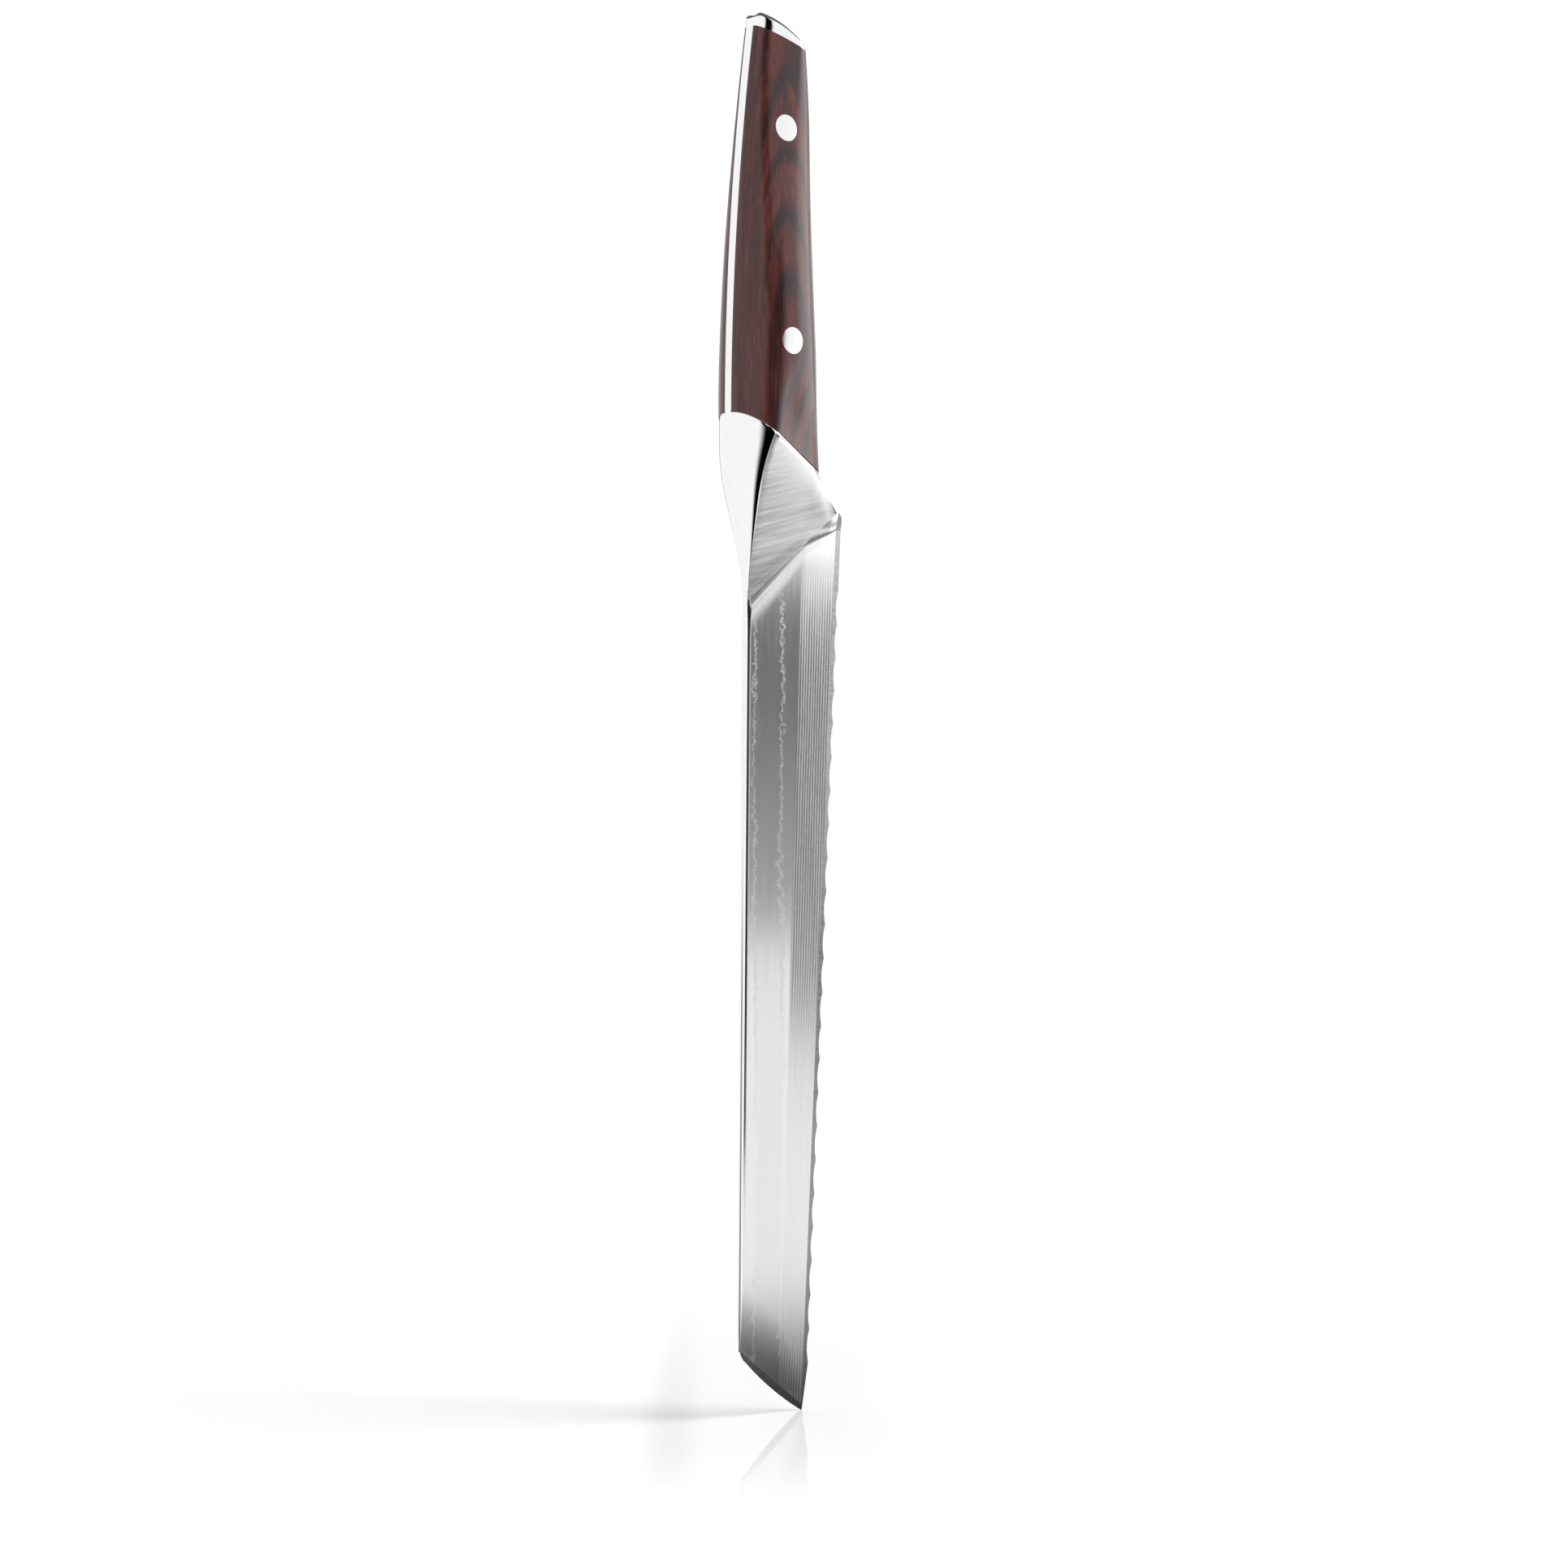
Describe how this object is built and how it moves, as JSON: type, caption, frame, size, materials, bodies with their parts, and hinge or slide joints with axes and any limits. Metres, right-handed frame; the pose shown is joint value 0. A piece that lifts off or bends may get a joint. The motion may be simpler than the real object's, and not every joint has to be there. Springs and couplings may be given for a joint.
{
  "type": "bread knife",
  "caption": "Bread knife with a laminated serrated blade, full tang, angular steel bolster, riveted wooden scales and a steel end cap.",
  "frame": {"origin": "middle of the bounding box at its lowest height, which is the level of the blade's tip; the knife stands on its tip", "axes": "+Z from the tip to the butt, +X from the spine to the cutting edge, +Y towards the knife's right-hand face"},
  "size_m": [0.04, 0.02, 0.3779],
  "materials": {
    "core_steel": "hard core steel, fine ground along the edge",
    "damascus": "layered cladding steel, etched layer lines on a satin ground",
    "bolster_steel": "polished back, satin facets brushed across",
    "cap_steel": "mirror polished",
    "rivet_steel": "ground flush with the wood, fine satin",
    "handle_wood": "resin-filled layered hardwood, dark red-brown, satin polish",
    "adhesive": "cured epoxy, a thin dark line"
  },
  "bodies": {
    "root": {"blade_core": "core_steel", "cladding_left": "damascus", "cladding_right": "damascus", "bolster_left": "bolster_steel", "bolster_right": "bolster_steel", "end_cap": "cap_steel", "scale_left": "handle_wood", "scale_right": "handle_wood", "bond_left": "adhesive", "bond_right": "adhesive", "front_rivet_sleeve": "rivet_steel", "front_rivet_pin": "rivet_steel", "rear_rivet_sleeve": "rivet_steel", "rear_rivet_pin": "rivet_steel"}
  },
  "joints": []
}
